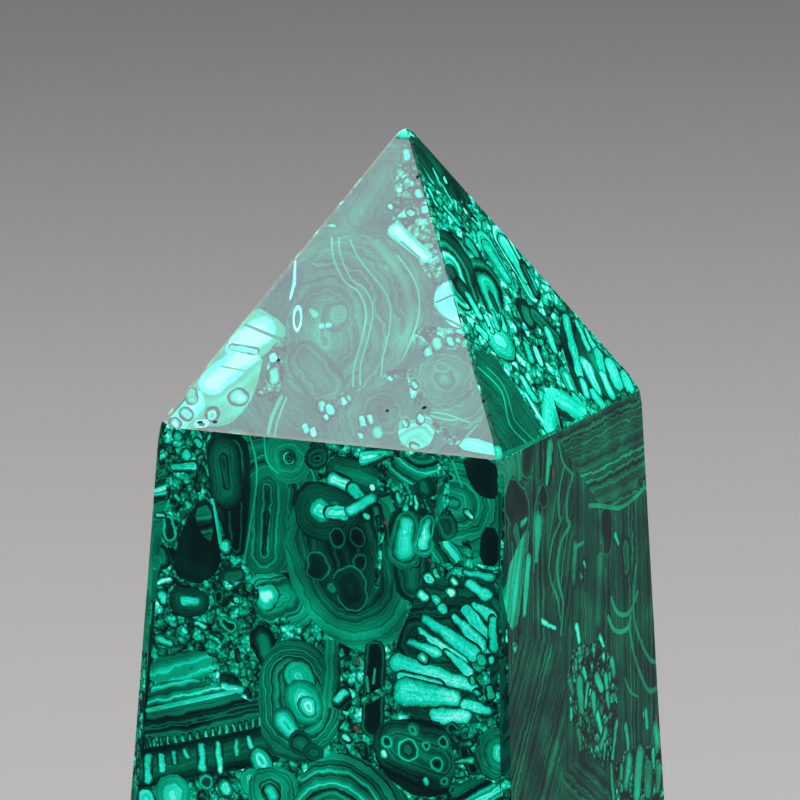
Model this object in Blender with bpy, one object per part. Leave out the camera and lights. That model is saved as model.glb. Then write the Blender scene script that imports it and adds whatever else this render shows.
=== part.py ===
"""A malachite obelisk: one solid stone, sawn to a tapering shaft with a four-sided roof, then lapped and polished.

The origin is the middle of the base. +Z is up, the front is towards -Y and the right side towards +X.
"""

import math

import bmesh
import bpy
from mathutils import Matrix, Vector

# Driving dimensions, in metres.
HEIGHT = 0.254  # from the base to the worn tip
BASE_WIDTH = 0.0762
SHOULDER_WIDTH = 0.0508  # where the roof begins
DEPTH_TO_WIDTH = 1.03  # the stone is a little deeper than it is wide
ROOF_HEIGHT = 0.0398  # from the shoulder to the point where the roof's faces would meet
TIP_WEAR = 0.0010  # how far the stone stops short of that point
TIP_ROUNDING = 0.0012  # height of the rounded end below the tip
BASE_BEVEL = 0.0008
SHOULDER_BEVEL = 0.0004
CORNER_REACH = 0.0022  # how far above and below the shoulder its knocked corners run

# Widths of the bevels along the upright edges, measured along the faces, from the base to the tip.
BEVEL_AT_BASE = 0.0015
BEVEL_LOW = 0.00115
BEVEL_MIDDLE = 0.0008
BEVEL_UNDER_SHOULDER = 0.00055
BEVEL_KNOCKED = 0.0009  # at the four corners of the shoulder
BEVEL_OVER_SHOULDER = 0.0005
BEVEL_AT_TIP = 0.0003
LOW_DEPTH = 0.047  # depths below the shoulder of the low and middle widths
MIDDLE_DEPTH = 0.020

# The bevels are lapped by hand, so each upright edge has its own share of the widths above.
CORNERS = ((-1, -1, 1.5), (1, -1, 1.0), (1, 1, 1.6), (-1, 1, 1.2))  # side, depth, share of the width

# Pits in the polished roof: across from the face's middle line, height above the shoulder, length, turn in degrees.
PIT_WIDTH = 0.00045
PIT_DEPTH = 0.00035
FRONT_PITS = (
    (-0.0192, 0.0008, 0.0009, 10),
    (-0.0170, 0.0010, 0.0007, 8),
    (-0.0100, 0.0092, 0.0005, 0),
    (0.0037, 0.0331, 0.0006, 70),
    (0.0127, 0.0052, 0.0007, 25),
    (0.0075, 0.0044, 0.0005, 0),
    (0.0209, 0.0068, 0.0009, 72),
    (0.0205, 0.0083, 0.0004, 0),
)
RIGHT_PITS = (
    (-0.0090, 0.0140, 0.0006, 40),
    (0.0060, 0.0075, 0.0008, 60),
)
BACK_PITS = (
    (0.0110, 0.0060, 0.0009, 15),
    (-0.0040, 0.0190, 0.0006, 80),
)
LEFT_PITS = (
    (0.0050, 0.0110, 0.0007, 50),
    (-0.0120, 0.0035, 0.0005, 20),
)

SHOULDER = HEIGHT + TIP_WEAR - ROOF_HEIGHT
POINT = SHOULDER + ROOF_HEIGHT


def half_width(height):
    """Half the stone's width at a height, before any bevel."""
    if height > SHOULDER:
        return SHOULDER_WIDTH / 2 * (POINT - height) / ROOF_HEIGHT
    share = height / SHOULDER
    return BASE_WIDTH / 2 * (1 - share) + SHOULDER_WIDTH / 2 * share


def add_ring(mesh, height, bevel, inset=0.0):
    """An eight-sided outline at a height: the stone's rectangle with its four corners cut. Returns its edges."""
    across = half_width(height) - inset
    deep = across * DEPTH_TO_WIDTH
    points = []
    for side, depth, share in CORNERS:
        cut = bevel * share
        along_depth = (side * across, depth * (deep - cut), height)
        along_width = (side * (across - cut), depth * deep, height)
        # The corners are met going round the stone, so every second one is entered along its other face.
        points += [along_depth, along_width] if side == depth else [along_width, along_depth]
    corners = [mesh.verts.new(point) for point in points]
    return [mesh.edges.new((corners[i - 1], corners[i])) for i in range(len(corners))]


def carve_stone(mesh):
    """Joins the outlines into one closed skin, base first."""
    rings = [
        add_ring(mesh, 0.0, BEVEL_AT_BASE, inset=BASE_BEVEL),
        add_ring(mesh, BASE_BEVEL, BEVEL_AT_BASE),
        add_ring(mesh, SHOULDER - LOW_DEPTH, BEVEL_LOW),
        add_ring(mesh, SHOULDER - MIDDLE_DEPTH, BEVEL_MIDDLE),
        add_ring(mesh, SHOULDER - CORNER_REACH, BEVEL_UNDER_SHOULDER),
        add_ring(mesh, SHOULDER - SHOULDER_BEVEL / 2, BEVEL_KNOCKED),
        add_ring(mesh, SHOULDER + SHOULDER_BEVEL / 2, BEVEL_KNOCKED),
        add_ring(mesh, SHOULDER + CORNER_REACH, BEVEL_OVER_SHOULDER),
        add_ring(mesh, HEIGHT - TIP_ROUNDING, BEVEL_AT_TIP),
        add_ring(mesh, HEIGHT - TIP_ROUNDING / 4, BEVEL_AT_TIP / 2, inset=TIP_ROUNDING / 8),
        add_ring(mesh, HEIGHT, BEVEL_AT_TIP / 3, inset=TIP_ROUNDING / 3),
    ]
    for lower, upper in zip(rings, rings[1:]):
        bmesh.ops.bridge_loops(mesh, edges=lower + upper)
    for end in (rings[0], rings[-1]):
        bmesh.ops.contextual_create(mesh, geom=end)
    bmesh.ops.recalc_face_normals(mesh, faces=mesh.faces)


def pit_frame(quarter_turns, across, height, turn):
    """The place of a pit on one face of the roof: X and Y lie in the face and Z points out of it."""
    lean = math.atan2(SHOULDER_WIDTH / 2, ROOF_HEIGHT)
    if quarter_turns % 2 == 0:
        lean = math.atan2(SHOULDER_WIDTH / 2 * DEPTH_TO_WIDTH, ROOF_HEIGHT)
    half = half_width(SHOULDER + height)
    out = half * DEPTH_TO_WIDTH if quarter_turns % 2 == 0 else half
    place = Matrix.Translation(Vector((across, -out, SHOULDER + height)))
    facing = Matrix.Rotation(math.pi / 2 - lean, 4, "X")
    around = Matrix.Rotation(quarter_turns * math.pi / 2, 4, "Z")
    return around @ place @ facing @ Matrix.Rotation(math.radians(turn), 4, "Z")


def add_pits(mesh, quarter_turns, pits):
    """Small flattened pebble shapes that are cut out of one face of the roof."""
    for across, height, length, turn in pits:
        size = Matrix.Diagonal((length / 2, PIT_WIDTH / 2, PIT_DEPTH, 1.0))
        bmesh.ops.create_icosphere(
            mesh, subdivisions=2, radius=1.0, matrix=pit_frame(quarter_turns, across, height, turn) @ size
        )


def new_object(name, build):
    """Makes a mesh with the function given, and links it into the scene as one object."""
    mesh = bmesh.new()
    build(mesh)
    data = bpy.data.meshes.new(name)
    mesh.to_mesh(data)
    mesh.free()
    made = bpy.data.objects.new(name, data)
    bpy.context.scene.collection.objects.link(made)
    return made


def build_pit_cutter(mesh):
    for quarter_turns, pits in enumerate((FRONT_PITS, RIGHT_PITS, BACK_PITS, LEFT_PITS)):
        add_pits(mesh, quarter_turns, pits)


def malachite():
    """The stone's own green, polished."""
    material = bpy.data.materials.new("malachite")
    material.use_nodes = True
    shader = material.node_tree.nodes["Principled BSDF"]
    shader.inputs["Base Color"].default_value = (0.004, 0.20, 0.11, 1.0)
    shader.inputs["Roughness"].default_value = 0.12
    shader.inputs["Metallic"].default_value = 0.0
    return material


def main():
    for old in list(bpy.data.objects):
        bpy.data.objects.remove(old)
    stone = new_object("obelisk", carve_stone)
    stone.data.materials.append(malachite())
    pits = new_object("pit_cutter", build_pit_cutter)
    pits.hide_render = True
    pits.display_type = "WIRE"
    cut = stone.modifiers.new("pits", "BOOLEAN")
    cut.operation = "DIFFERENCE"
    cut.object = pits


main()
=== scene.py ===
# %% [markdown]
# # A malachite obelisk
#
# The real thing is one block of malachite, sawn to a tapering shaft with a four-sided roof and polished
# until it mirrors the room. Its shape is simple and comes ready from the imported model. What makes it
# malachite is the growth frozen in the stone: kidney-shaped crusts laid down band by band, broken, and
# cemented together again. This lesson takes a copy of the solid, cuts the outline of each growth into its
# skin, and lets one material draw the bands.

import itertools
import math
import random

import bmesh
import bpy
from mathutils import Matrix, Vector, geometry, noise


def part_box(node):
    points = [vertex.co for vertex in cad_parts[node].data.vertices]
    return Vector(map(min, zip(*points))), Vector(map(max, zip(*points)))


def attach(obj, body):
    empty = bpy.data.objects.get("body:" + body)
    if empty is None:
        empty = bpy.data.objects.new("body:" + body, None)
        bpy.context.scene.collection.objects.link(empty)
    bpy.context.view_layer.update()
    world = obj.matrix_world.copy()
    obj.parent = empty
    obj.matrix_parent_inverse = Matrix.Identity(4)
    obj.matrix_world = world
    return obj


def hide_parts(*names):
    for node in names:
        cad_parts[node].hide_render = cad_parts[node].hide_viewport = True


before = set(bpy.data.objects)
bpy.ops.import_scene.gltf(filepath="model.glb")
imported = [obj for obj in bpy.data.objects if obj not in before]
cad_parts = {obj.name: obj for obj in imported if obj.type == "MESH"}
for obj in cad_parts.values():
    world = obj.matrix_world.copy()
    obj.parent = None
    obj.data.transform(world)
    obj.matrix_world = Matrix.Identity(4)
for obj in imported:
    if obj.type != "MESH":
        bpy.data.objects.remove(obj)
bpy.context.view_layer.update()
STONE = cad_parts["obelisk"]
LOW_CORNER, HIGH_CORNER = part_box("obelisk")
HEIGHT = HIGH_CORNER.z
MM = 1000.0  # millimetres in a metre
print("the stone measures", [round(MM * size, 1) for size in HIGH_CORNER - LOW_CORNER], "mm")

# %% [markdown]
# ## The camera
#
# The photograph looks at the top of the stone through a long lens, so its upright edges hardly lean
# together. The camera's place was solved from the stone's own edges. It comes first here because the
# growths that the photograph shows are placed by the pixel where they are seen, and a ray from the camera
# carries each pixel onto the stone.

# %% The camera
PICTURE = 800  # pixels across the square photograph
FOCAL_PIXELS = 8000  # the focal length in the same pixels
SENSOR = 36.0
CAMERA_TURN = math.radians(22.85)
CAMERA_RISE = math.radians(11.91)
CAMERA_ROLL = math.radians(0.55)
CAMERA_DISTANCE = 1.1053
AIM_HEIGHT = 0.21597
AIM_SHIFT = -0.00043  # how far to the right of the stone's middle the camera aims


def camera_axes():
    """The camera's right, up and backward directions."""
    back = Vector((
        math.sin(CAMERA_TURN) * math.cos(CAMERA_RISE),
        -math.cos(CAMERA_TURN) * math.cos(CAMERA_RISE),
        math.sin(CAMERA_RISE),
    ))
    level = Vector((math.cos(CAMERA_TURN), math.sin(CAMERA_TURN), 0.0))
    upright = back.cross(level)
    right = math.cos(CAMERA_ROLL) * level + math.sin(CAMERA_ROLL) * upright
    up = math.cos(CAMERA_ROLL) * upright - math.sin(CAMERA_ROLL) * level
    return right, up, back


RIGHT, UP, BACK = camera_axes()
EYE = Vector((0.0, 0.0, AIM_HEIGHT)) + AIM_SHIFT * RIGHT + CAMERA_DISTANCE * BACK
lens = bpy.data.cameras.new("camera")
lens.sensor_width = SENSOR
lens.lens = SENSOR * FOCAL_PIXELS / PICTURE
lens.clip_start = 0.05
lens.clip_end = 20.0
camera = bpy.data.objects.new("camera", lens)
camera.matrix_world = Matrix.Translation(EYE) @ Matrix((RIGHT, UP, BACK)).transposed().to_4x4()
bpy.context.scene.collection.objects.link(camera)
bpy.context.scene.camera = camera
print("the camera stands at", [round(value, 3) for value in EYE])

# %% [markdown]
# ## A skin that can be cut
#
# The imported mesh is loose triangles, so a copy is merged into one closed skin first. The growths will be
# cut into that copy. Cuts alone don't change the shape: every new point lies on the stone's own faces.
#
# A grid of level and upright cuts, a few millimetres apart, comes before the growths. Later each point gets
# a value that bends the pattern a little, and the grid gives that value enough points to bend smoothly.

# %% A merged copy, cut into a grid
MERGE = 1e-6  # points closer than this are one point
GRID = 0.004  # metres from cut to cut

# The attributes that a growth will write: style numbers, and a spine with its widths.
STYLE_KEYS = ("core", "rim", "bands", "lines", "edge", "halo", "pitch", "scallop", "crumb", "fibre", "rust")

skin = bmesh.new()
skin.from_mesh(STONE.data)
bmesh.ops.remove_doubles(skin, verts=skin.verts, dist=MERGE)
spine_start = skin.faces.layers.float_vector.new("spine_start")
spine_end = skin.faces.layers.float_vector.new("spine_end")
spine_width = skin.faces.layers.float_vector.new("spine_width")
style_layers = {key: skin.faces.layers.float.new(key) for key in (*STYLE_KEYS, "seed")}
rest = skin.verts.layers.float_vector.new("rest")
for axis, low, high in zip(Matrix.Identity(3), LOW_CORNER, HIGH_CORNER):
    for step in range(1, math.ceil((high - low) / GRID)):
        bmesh.ops.bisect_plane(
            skin,
            geom=skin.verts[:] + skin.edges[:] + skin.faces[:],
            dist=MERGE,
            plane_co=axis * (low + step * GRID),
            plane_no=axis,
        )
print("the skin has", len(skin.faces), "faces after the grid")

# %% [markdown]
# ## The stone's nine sides
#
# Each growth belongs to one side, so the faces are sorted by the way they look: front, right, back or left,
# on the shaft or on the roof, and the base. A bevel joins the side that it leans towards most. The few
# steep little faces inside the polished roof are the pits, and they are set apart.

# %% Sorting the faces
ROOF_LEAN = 0.3  # the upward part of a face's direction that tells the roof from the shaft
BASE_LEAN = -0.9  # and the one that tells the base
LIES_FLAT = 0.1  # a side lies flat where the level part of its direction is smaller than this
PIT_AREA = 6e-8  # a pit's faces are smaller than this, in square metres
PIT_TURN = 0.995  # and look less closely than this along any side
TIP_DEPTH = 0.002  # small faces that are this near the top belong to the tip
PIT_REACH = [GRID * Vector(way) for way in itertools.product((-1, 0, 1), repeat=3)]


def grid_cell(point):
    """The cell of the grid that a point lies in."""
    return tuple(math.floor((value - low) / GRID) for value, low in zip(point, LOW_CORNER))


class Side:
    """One flat side of the stone, with its own across and up directions and the faces that lie on it."""

    def __init__(self, faces):
        flat = max(faces, key=lambda face: face.calc_area())
        self.normal = flat.normal.copy()
        self.point = flat.calc_center_median()
        level = Vector((0, 0, 1)).cross(self.normal)
        self.across = level.normalized() if level.length > LIES_FLAT else Vector((1, 0, 0))
        self.up = self.normal.cross(self.across)
        self.cells = {}
        for face in faces:
            self.cells.setdefault(grid_cell(face.calc_center_median()), []).append(face)
        spots = [self.flatten(vert.co) for face in faces for vert in face.verts]
        self.low = Vector(map(min, zip(*spots)))
        self.high = Vector(map(max, zip(*spots)))

    def flatten(self, point):
        """A point's place across and up the side."""
        return Vector(((point - self.point).dot(self.across), (point - self.point).dot(self.up)))

    def at(self, across, up):
        return self.point + across * self.across + up * self.up

    def at_pixel(self, x, y):
        """The point of the side's plane that the photograph shows at a pixel."""
        middle = PICTURE / 2
        ray = (x - middle) / FOCAL_PIXELS * RIGHT + (middle - y) / FOCAL_PIXELS * UP - BACK
        return geometry.intersect_line_plane(EYE, EYE + ray, self.point, self.normal)

    def near(self, centre, reach):
        """The grid cells that may hold something within a distance of a point."""
        span = (reach + GRID) ** 2
        middle = Vector((0.5, 0.5, 0.5))
        return [
            cell for cell in self.cells
            if (LOW_CORNER + GRID * (Vector(cell) + middle) - centre).length_squared < span
        ]


def side_name(face):
    if face.normal.z < BASE_LEAN:
        return "base"
    x, y = face.normal.xy
    way = ("front" if y < 0 else "back") if abs(y) > abs(x) else ("right" if x > 0 else "left")
    return ("roof_" if face.normal.z > ROOF_LEAN else "shaft_") + way


groups = {}
for face in skin.faces:
    groups.setdefault(side_name(face), []).append(face)
SIDES = {name: Side(faces) for name, faces in groups.items()}


def is_pit(face):
    tilted = all(face.normal.dot(side.normal) < PIT_TURN for side in SIDES.values())
    return tilted and face.calc_area() < PIT_AREA and face.calc_center_median().z < HEIGHT - TIP_DEPTH


pit_faces = {face for face in skin.faces if is_pit(face)}
PIT_CELLS = {grid_cell(vert.co + reach) for face in pit_faces for vert in face.verts for reach in PIT_REACH}
for side in SIDES.values():
    for cell, faces in side.cells.items():
        side.cells[cell] = [face for face in faces if face not in pit_faces]
for name, side in sorted(SIDES.items()):
    size = [round(MM * value) for value in side.high - side.low]
    way = [round(value, 2) for value in side.normal]
    print(f"{name}: {len(side.cells)} cells over {size} mm, looking along {way}")
print("the pits have", len(pit_faces), "faces")

# %% [markdown]
# ## What a growth is
#
# A malachite crust thickens outwards from where it began, and a saw cut through it shows nested bands. Here
# a growth starts from a spine, a short straight line with a width at each end. A round kidney has a spine
# of no length, an arch or a finger has a longer one, and a level stack of bands has a very long one. The
# band at a point depends only on how many widths the point lies from the spine, so the bands nest round it
# by themselves.
#
# The material does that sum for every point it draws. It only needs to know whose growth the point belongs
# to, so each face carries its growth's spine, widths and style as attributes.

# %% The styles of growth
# core, rim: shade at the spine and at the outline, 0 black-green to 1 pale turquoise
# bands: how much the shade swings from band to band; lines: fine light lines
# edge: a dark line at the outline; halo: a light line inside it
# pitch: mm from band to band; scallop: how far small lobes bend the bands
# crumb: 1 for broken grains in place of bands; fibre: a silky mottle; rust: 1 for a rusty brown
STYLES = {
    "fine": dict(core=0.46, rim=0.47, bands=0.24, lines=0.14, pitch=1.0, scallop=0.10),
    "nest": dict(core=0.42, rim=0.36, bands=0.62, lines=0.22, pitch=1.1, scallop=0.06),
    "wide": dict(core=0.62, rim=0.45, bands=0.50, lines=0.18, pitch=1.3, scallop=0.10),
    "deep": dict(core=0.40, rim=0.12, bands=0.35, lines=0.10, pitch=1.2, scallop=0.05),
    "dusk": dict(core=0.22, rim=0.22, bands=0.40, lines=0.12, pitch=1.0, scallop=0.10),
    "bowl": dict(core=0.08, rim=0.56, bands=0.28, lines=0.14, pitch=1.1, scallop=0.08),
    "ink": dict(core=0.03, rim=0.13, bands=0.14, lines=0.05, halo=0.30, pitch=1.5),
    "dome": dict(core=0.86, rim=0.46, bands=0.34, lines=0.20, edge=0.12, pitch=0.9, scallop=0.04, fibre=0.10),
    "jet": dict(core=0.02, rim=0.08, bands=0.12, lines=0.06, pitch=1.6),
    "lobe": dict(core=0.92, rim=0.60, bands=0.46, lines=0.08, edge=0.48, pitch=0.75, scallop=0.06,
                 fibre=0.25),
    "finger": dict(core=0.92, rim=0.78, bands=0.28, edge=0.60, pitch=1.1, fibre=0.50),
    "pale": dict(core=1.10, rim=0.98, bands=0.22, edge=0.25, pitch=2.0, fibre=0.10),
    "silk": dict(core=0.68, rim=0.42, bands=0.30, edge=0.30, pitch=1.4, fibre=0.30),
    "stripe": dict(core=0.42, rim=0.42, bands=1.00, lines=0.15, pitch=1.3),
    "arcs": dict(core=0.82, rim=0.80, bands=0.75, edge=0.50, pitch=1.3, scallop=0.05, fibre=0.15),
    "pleats": dict(core=0.30, rim=0.30, bands=0.48, lines=0.14, pitch=0.9, scallop=0.10),
    "haze": dict(core=0.39, rim=0.36, bands=0.18, lines=0.06, pitch=0.8, scallop=0.15, fibre=0.15),
    "veiled": dict(core=0.44, rim=0.40, bands=0.22, lines=0.16, pitch=0.9, scallop=0.20, fibre=0.10),
    "ring": dict(core=0.12, rim=0.45, bands=0.20, halo=0.40, pitch=1.5),
    "crumb": dict(pitch=1.0, crumb=1.0),
    "grit": dict(core=0.16, pitch=1.0, crumb=1.0),
    "shreds": dict(core=-0.20, rim=-0.20, pitch=1.0, crumb=1.0),
    "crack": dict(core=0.0, rim=0.03, pitch=1.0),
    "line": dict(core=0.72, rim=0.70, pitch=1.0),
    "sliver": dict(core=0.90, rim=0.80, pitch=1.0, fibre=0.20),
    "trace": dict(core=0.56, rim=0.52, pitch=1.0),
    "spark": dict(core=1.12, rim=1.08, pitch=1.0),
    "rust": dict(core=0.60, rim=0.45, pitch=1.0, rust=1.0),
}

print(len(STYLES), "styles of growth")

# %% [markdown]
# ## How a growth is cut
#
# The outline of a growth has to be an edge in the skin, or its border would be as ragged as the mesh is
# coarse. A boolean or a knife tool would do it, but each call works through the whole mesh, and there are
# over four thousand growths. So the cut is done by hand, on the few faces that lie close. An outline that
# bulges everywhere is the meeting of half planes, and each nearby face is split along one plane after the
# other. What is left inside all of them belongs to the growth. The faces inside one cell of the grid are
# then joined again where they are level, because whatever they had been cut for before is covered now.

# %% The outline of a growth
WOBBLE = 0.00045  # metres that an outline is pushed at most, each way
WOBBLE_SIZE = 0.008  # metres over which the push changes
WOBBLE_SEED = 5  # without a seed, the noise is another one in each run
CHANCE_SEED = 20
CAP_POINTS = 7  # points on each half round
UNEVEN = (0.93, 1.07)  # shares of the width between which they lie
CORNER_CUT = 0.25

chance = random.Random(CHANCE_SEED)
noise.seed_set(WOBBLE_SEED)


def wobble(point):
    """A smooth small push that keeps outlines from being perfect rounds and straights."""
    return WOBBLE * noise.noise_vector(point / WOBBLE_SIZE)


def between(low, high):
    return chance.uniform(low, high)


def turned(side, angle, length):
    return length * (math.cos(angle) * side.across + math.sin(angle) * side.up)


def oval(side, start, end, start_width, end_width):
    """The outline of a growth: a half round at each end of its spine, joined by straights."""
    along = end - start if (end - start).length > MERGE else side.across
    first = math.atan2(along.dot(side.up), along.dot(side.across))
    outline = []
    for middle, width, turn in ((end, end_width, -math.pi / 2), (start, start_width, math.pi / 2)):
        for step in range(CAP_POINTS):
            angle = first + turn + math.pi * step / (CAP_POINTS - 1)
            uneven = between(*UNEVEN)
            # The half rounds meet evenly. Otherwise a growth with a short spine would get a slanting side.
            if step in (0, CAP_POINTS - 1):
                uneven = 1.0
            outline.append(middle + turned(side, angle, width * uneven))
    return outline


def rounded(outline):
    """The same outline with its corners cut off, a quarter of the way along each edge."""
    edges = list(zip(outline, outline[1:] + outline[:1]))
    return [here.lerp(there, share) for here, there in edges for share in (CORNER_CUT, 1 - CORNER_CUT)]


print("one outline has", 2 * CAP_POINTS, "points")

# %% Splitting a face along a plane
NEAR = 2e-8  # a plane that passes a point this closely goes through it


def split_face(face, point, outwards):
    """Cuts a face along a plane. Returns its inner and its outer part, with None for a missing one."""
    heights = {vert: (vert.co - point).dot(outwards) for vert in face.verts}
    if max(heights.values()) < NEAR:
        return face, None
    if min(heights.values()) > -NEAR:
        return None, face
    for loop in list(face.loops):
        here, there = loop.vert, loop.link_loop_next.vert
        if heights[here] * heights[there] < 0 and min(abs(heights[here]), abs(heights[there])) > NEAR:
            share = heights[here] / (heights[here] - heights[there])
            heights[bmesh.utils.edge_split(loop.edge, here, share)[1]] = 0.0
    ends = [vert for vert in face.verts if abs(heights[vert]) <= NEAR]
    first, last = max(
        ((one, other) for one in ends for other in ends),
        key=lambda pair: (pair[0].co - pair[1].co).length_squared,
    )
    if first == last or any(first in edge.verts and last in edge.verts for edge in face.edges):
        return (face, None) if -min(heights.values()) > max(heights.values()) else (None, face)
    other = bmesh.utils.face_split(face, first, last)[0]
    deepest = max(face.verts, key=lambda vert: abs(heights.get(vert, 0.0)))
    return (face, other) if heights[deepest] < 0 else (other, face)


# %% Cutting an outline into a side
LEVEL = 0.9999  # faces whose directions agree this well are level with each other


def join_level(faces):
    """Joins faces of one cell that look the same way. What they had been cut for is covered now."""
    joined = []
    while faces:
        first, others = faces[0], faces[1:]
        same = [face for face in others if face.normal.dot(first.normal) > LEVEL]
        faces = [face for face in others if face not in same]
        whole = bmesh.utils.face_join([first, *same], True) if same else None
        joined += [whole] if whole else [first, *same]
    return joined


def lies_outside(face, planes):
    """Whether a face lies wholly beyond one of the planes."""
    return any(all((vert.co - here).dot(outwards) > 0 for vert in face.verts) for here, outwards in planes)


def cut_outline(side, outline):
    """Cuts an outline that bulges everywhere into a side, and returns the faces inside it."""
    outline = [point + wobble(point) for point in outline]
    centre = sum(outline, Vector()) / len(outline)
    planes = []
    for here, there in zip(outline, outline[1:] + outline[:1]):
        outwards = (there - here).cross(side.normal)
        if outwards.length > MERGE**2:
            outwards.normalize()
            planes.append((here, outwards if outwards.dot(here - centre) > 0 else -outwards))
    found = []
    for cell in side.near(centre, max((point - centre).length for point in outline)):
        kept, inside = [], []
        for face in side.cells[cell]:
            if lies_outside(face, planes):
                kept.append(face)
                continue
            for here, outwards in planes:
                face, outer = split_face(face, here, outwards)
                if outer:
                    kept.append(outer)
                if not face:
                    break
            if face:
                inside.append(face)
        if cell not in PIT_CELLS:
            inside = join_level(inside)
        side.cells[cell] = kept + inside
        found += inside
    return found


# %% Growing
SEED_STEP, SEED_RANGE = 7.31, 100  # each growth gets its own stretch of the bands' noise
PIT_WIDTH, GROUND_WIDTH = 0.001, 0.01  # what the pits and the other faces carry before the first growth
growth_count = 0


def mark(faces, style, start, end, start_width, end_width, seed):
    """Writes a growth's spine and style on its faces, in millimetres."""
    values = STYLES[style]
    for face in faces:
        face[spine_start] = start * MM
        face[spine_end] = end * MM
        face[spine_width] = (start_width * MM, end_width * MM, max(start_width, end_width) * MM)
        face[style_layers["seed"]] = seed
        for key in STYLE_KEYS:
            face[style_layers[key]] = values.get(key, 0.0)


def grow(side, style, start, end, start_width, end_width, outline=None):
    """One growth on a side. Without an outline of its own it ends one width away from its spine."""
    global growth_count
    growth_count += 1
    outline = outline or oval(side, start, end, start_width, end_width)
    seed = SEED_STEP * growth_count % SEED_RANGE
    mark(cut_outline(side, outline), style, start, end, start_width, end_width, seed)


mark(pit_faces, "crack", Vector(), Vector(), PIT_WIDTH, PIT_WIDTH, 0)
for side in SIDES.values():
    for faces in side.cells.values():
        mark(faces, "crumb", side.point, side.point, GROUND_WIDTH, GROUND_WIDTH, 0)
print("all faces start as crumbs, and the pits as cracks")

# %% [markdown]
# ## Filling the whole stone
#
# The stone is a breccia: fragments of many crusts, each with its own banding. A painter's order suits that.
# Large fragments go down first, then the kidneys, fingers and rings that grew on them, then veins of
# crumbs, and each later cut covers what it lands on. These growths are drawn by chance from a fixed seed,
# so the sides that the photograph doesn't show get the same mixture.

# %% Fragments by chance
FRAGMENT = 0.0145  # metres from one fragment to the next
FINGER_FAN = 0.33  # radians from one finger of a spray to the next
VEIN_PARTS = 3
VEIN_WIDTH = (0.0004, 0.0012)
# The ranges below that have no name are shares of a fragment's radius, or of a turn.


def shard(side, centre, radius):
    """The outline of a broken fragment: an uneven polygon."""
    corners = chance.randint(5, 8)
    angles = [math.tau * (step + between(-0.3, 0.3)) / corners for step in range(corners)]
    return [centre + turned(side, angle, radius * between(0.8, 1.15)) for angle in angles]


def arch_fragment(side, centre, radius):
    angle = between(0, math.tau)
    start = centre + turned(side, angle, radius * between(0.2, 1.0))
    end = start + turned(side, angle, radius * between(0.1, 1.4))
    style = chance.choice(("fine", "fine", "wide", "deep", "stripe"))
    width = radius * between(0.25, 0.5)
    grow(side, style, start, end, width, width * between(0.7, 1.3), shard(side, centre, radius))


def kidney_fragment(side, centre, radius):
    style = chance.choice(("deep", "ink", "fine"))
    grow(side, style, centre, centre, radius, radius, shard(side, centre, radius))
    for _ in range(chance.randint(3, 6)):
        start = centre + turned(side, between(0, math.tau), radius * between(0.1, 0.6))
        end = start + turned(side, between(0, math.tau), radius * between(0.0, 0.3))
        width = radius * between(0.18, 0.42)
        style = chance.choice(("lobe", "dome", "deep", "ink", "ring", "fine"))
        grow(side, style, start, end, width, width * between(0.6, 1.0))


def spray_fragment(side, centre, radius):
    style = chance.choice(("deep", "dusk", "ink"))
    grow(side, style, centre, centre, radius, radius, shard(side, centre, radius))
    first, count = between(0, math.tau), chance.randint(4, 8)
    root = centre - turned(side, first, radius * between(0.3, 0.8))
    for step in range(count):
        angle = first + (step - count / 2 + between(-0.3, 0.3)) * FINGER_FAN
        start = root + turned(side, angle, radius * between(0.2, 0.5))
        end = root + turned(side, angle, radius * between(0.8, 1.5))
        grow(side, "finger", start, end, radius * between(0.05, 0.1), radius * between(0.1, 0.2))


def crumb_fragment(side, centre, radius):
    grow(side, "crumb", centre, centre, radius, radius, shard(side, centre, radius))
    for _ in range(chance.randint(2, 5)):
        start = centre + turned(side, between(0, math.tau), radius * between(0.1, 0.8))
        width = radius * between(0.08, 0.2)
        grow(side, chance.choice(("lobe", "ring", "lobe")), start, start, width, width)


def crumb_vein(side, centre):
    angle = between(0, math.tau)
    for _ in range(VEIN_PARTS):
        end = centre + turned(side, angle, FRAGMENT * between(0.3, 0.6))
        grow(side, "crumb", centre, end, between(*VEIN_WIDTH), between(*VEIN_WIDTH))
        centre = end
        angle += between(-0.7, 0.7)


def fill(side):
    """Lays fragments over a side from a jittered grid of places."""
    columns, rows = (math.ceil(size / FRAGMENT) for size in side.high - side.low)
    centres = [
        side.at(
            side.low.x + FRAGMENT * (column + between(0.2, 0.8)),
            side.low.y + FRAGMENT * (row + between(0.2, 0.8)),
        )
        for column in range(columns)
        for row in range(rows)
    ]
    chance.shuffle(centres)
    kinds = (arch_fragment, arch_fragment, kidney_fragment, kidney_fragment, spray_fragment, crumb_fragment)
    for centre in centres:
        chance.choice(kinds)(side, centre, FRAGMENT * between(0.6, 0.9))
    for centre in centres:
        crumb_vein(side, centre)


for name in sorted(SIDES):
    fill(SIDES[name])
print(growth_count, "growths by chance,", len(skin.faces), "faces")
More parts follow.
